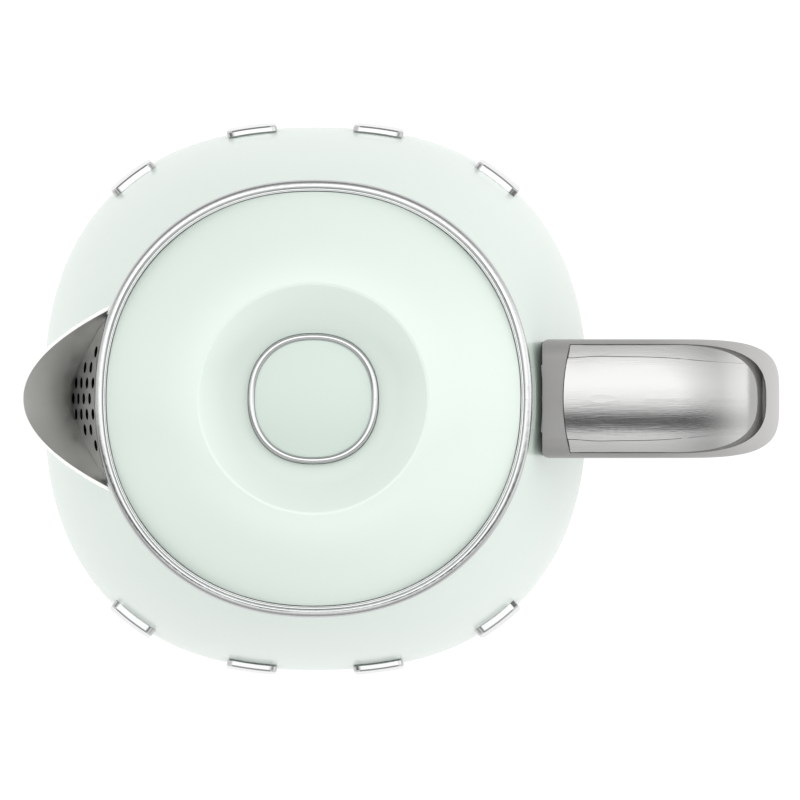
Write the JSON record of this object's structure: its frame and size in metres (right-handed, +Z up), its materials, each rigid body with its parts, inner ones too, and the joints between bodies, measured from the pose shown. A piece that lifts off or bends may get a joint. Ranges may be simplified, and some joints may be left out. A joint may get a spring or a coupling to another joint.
{
  "type": "cordless jug kettle",
  "caption": "Cordless electric jug kettle: rounded painted body, V spout with strainer, push-button lid and side handle, on a round power base.",
  "frame": {"origin": "on the table, under the middle of the kettle's length and width; the jug's own axis stands 26.2 mm towards the spout", "axes": "+Z up, +X towards the handle, -X towards the spout, +Y across"},
  "size_m": [0.2266, 0.1676, 0.2416],
  "materials": {
    "painted_steel": "gloss",
    "painted_plastic": "gloss",
    "polished_chrome": "polished",
    "brushed_steel": "brushed",
    "plated_steel": "plain",
    "grey_plastic": "satin",
    "dark_plastic": "matte",
    "pale_plastic": "satin",
    "seal_rubber": "matte",
    "foot_rubber": "matte",
    "contact_brass": "plain",
    "diffuser_aluminium": "plain",
    "clear_plastic": "clear",
    "lamp_lens": "gloss"
  },
  "bodies": {
    "power_base": {"base_cover": "painted_plastic", "base_trim": "polished_chrome", "base_plate": "dark_plastic", "base_feet": "foot_rubber", "base_screws": "plated_steel", "cord_gland": "foot_rubber"},
    "connector": {"base_connector": "dark_plastic", "base_contacts": "contact_brass"},
    "jug": {"jug_connector": "dark_plastic", "jug_contacts": "contact_brass", "plinth_ring": "polished_chrome", "under_cover": "dark_plastic", "under_screws": "plated_steel", "jug_floor": "brushed_steel", "floor_seal": "seal_rubber", "heat_diffuser": "diffuser_aluminium", "heating_element": "plated_steel", "element_pins": "plated_steel", "control_body": "dark_plastic", "cutout_discs": "plated_steel", "steam_disc": "plated_steel", "lever_pin": "plated_steel", "pilot_lamp": "lamp_lens", "jug_wall": "painted_steel", "spout": "brushed_steel", "strainer": "brushed_steel", "gauge_window": "clear_plastic", "gauge_seal": "seal_rubber", "side_trims_left": "polished_chrome", "side_trims_right": "polished_chrome", "collar": "pale_plastic", "hinge_block": "painted_steel", "hinge_pin": "plated_steel", "handle_frame": "grey_plastic", "handle_liner": "grey_plastic", "handle_plate": "brushed_steel", "handle_brackets": "plated_steel", "steam_tube": "seal_rubber"},
    "lever": {"switch_lever": "grey_plastic"},
    "trip_rod": {"trip_rod": "plated_steel"},
    "lid": {"lid_ring": "polished_chrome", "lid_cover": "painted_steel", "lid_inner": "pale_plastic", "lid_screws": "plated_steel", "lid_seal": "seal_rubber", "button_well": "pale_plastic", "button_spring": "plated_steel"},
    "lid_button": {"button_stem": "pale_plastic", "button_cap": "painted_plastic", "button_bezel": "polished_chrome"},
    "latch_left": {"latch_left": "pale_plastic"},
    "latch_right": {"latch_right": "pale_plastic"}
  },
  "joints": [
    {"name": "kettle_turn", "type": "hinge", "parent": "power_base", "child": "connector", "pos_m": [-0.0262, 0, 0.0196], "axis": [0, 0, 1], "continuous": true},
    {"name": "kettle_lift", "type": "slide", "parent": "connector", "child": "jug", "axis": [0, 0, 1], "range_m": [0, 0.08]},
    {"name": "switch_lever", "type": "hinge", "parent": "jug", "child": "lever", "pos_m": [0.0338, 0, 0.0295], "axis": [0, 1, 0], "range_deg": [0, 8]},
    {"name": "trip_rod_slide", "type": "slide", "parent": "jug", "child": "trip_rod", "axis": [0, 0, 1], "range_m": [0, 0.0025]},
    {"name": "lid_hinge", "type": "hinge", "parent": "jug", "child": "lid", "pos_m": [0.0377, 0, 0.2183], "axis": [0, 1, 0], "range_deg": [0, 80]},
    {"name": "lid_button", "type": "slide", "parent": "lid", "child": "lid_button", "axis": [0, 0, -1], "range_m": [0, 0.003], "stiffness_N_per_m": 250, "springref_m": -0.003, "deforming": ["button_spring"]},
    {"name": "latch_left_slide", "type": "slide", "parent": "lid", "child": "latch_left", "axis": [0, 1, 0], "range_m": [0, 0.003]},
    {"name": "latch_right_slide", "type": "slide", "parent": "lid", "child": "latch_right", "axis": [0, -1, 0], "range_m": [0, 0.003]}
  ],
  "couplings": [
    {"joint": "trip_rod_slide", "follows": "switch_lever", "m_per_rad": 0.015},
    {"joint": "latch_left_slide", "follows": "lid_button", "ratio": 1},
    {"joint": "latch_right_slide", "follows": "lid_button", "ratio": 1}
  ]
}
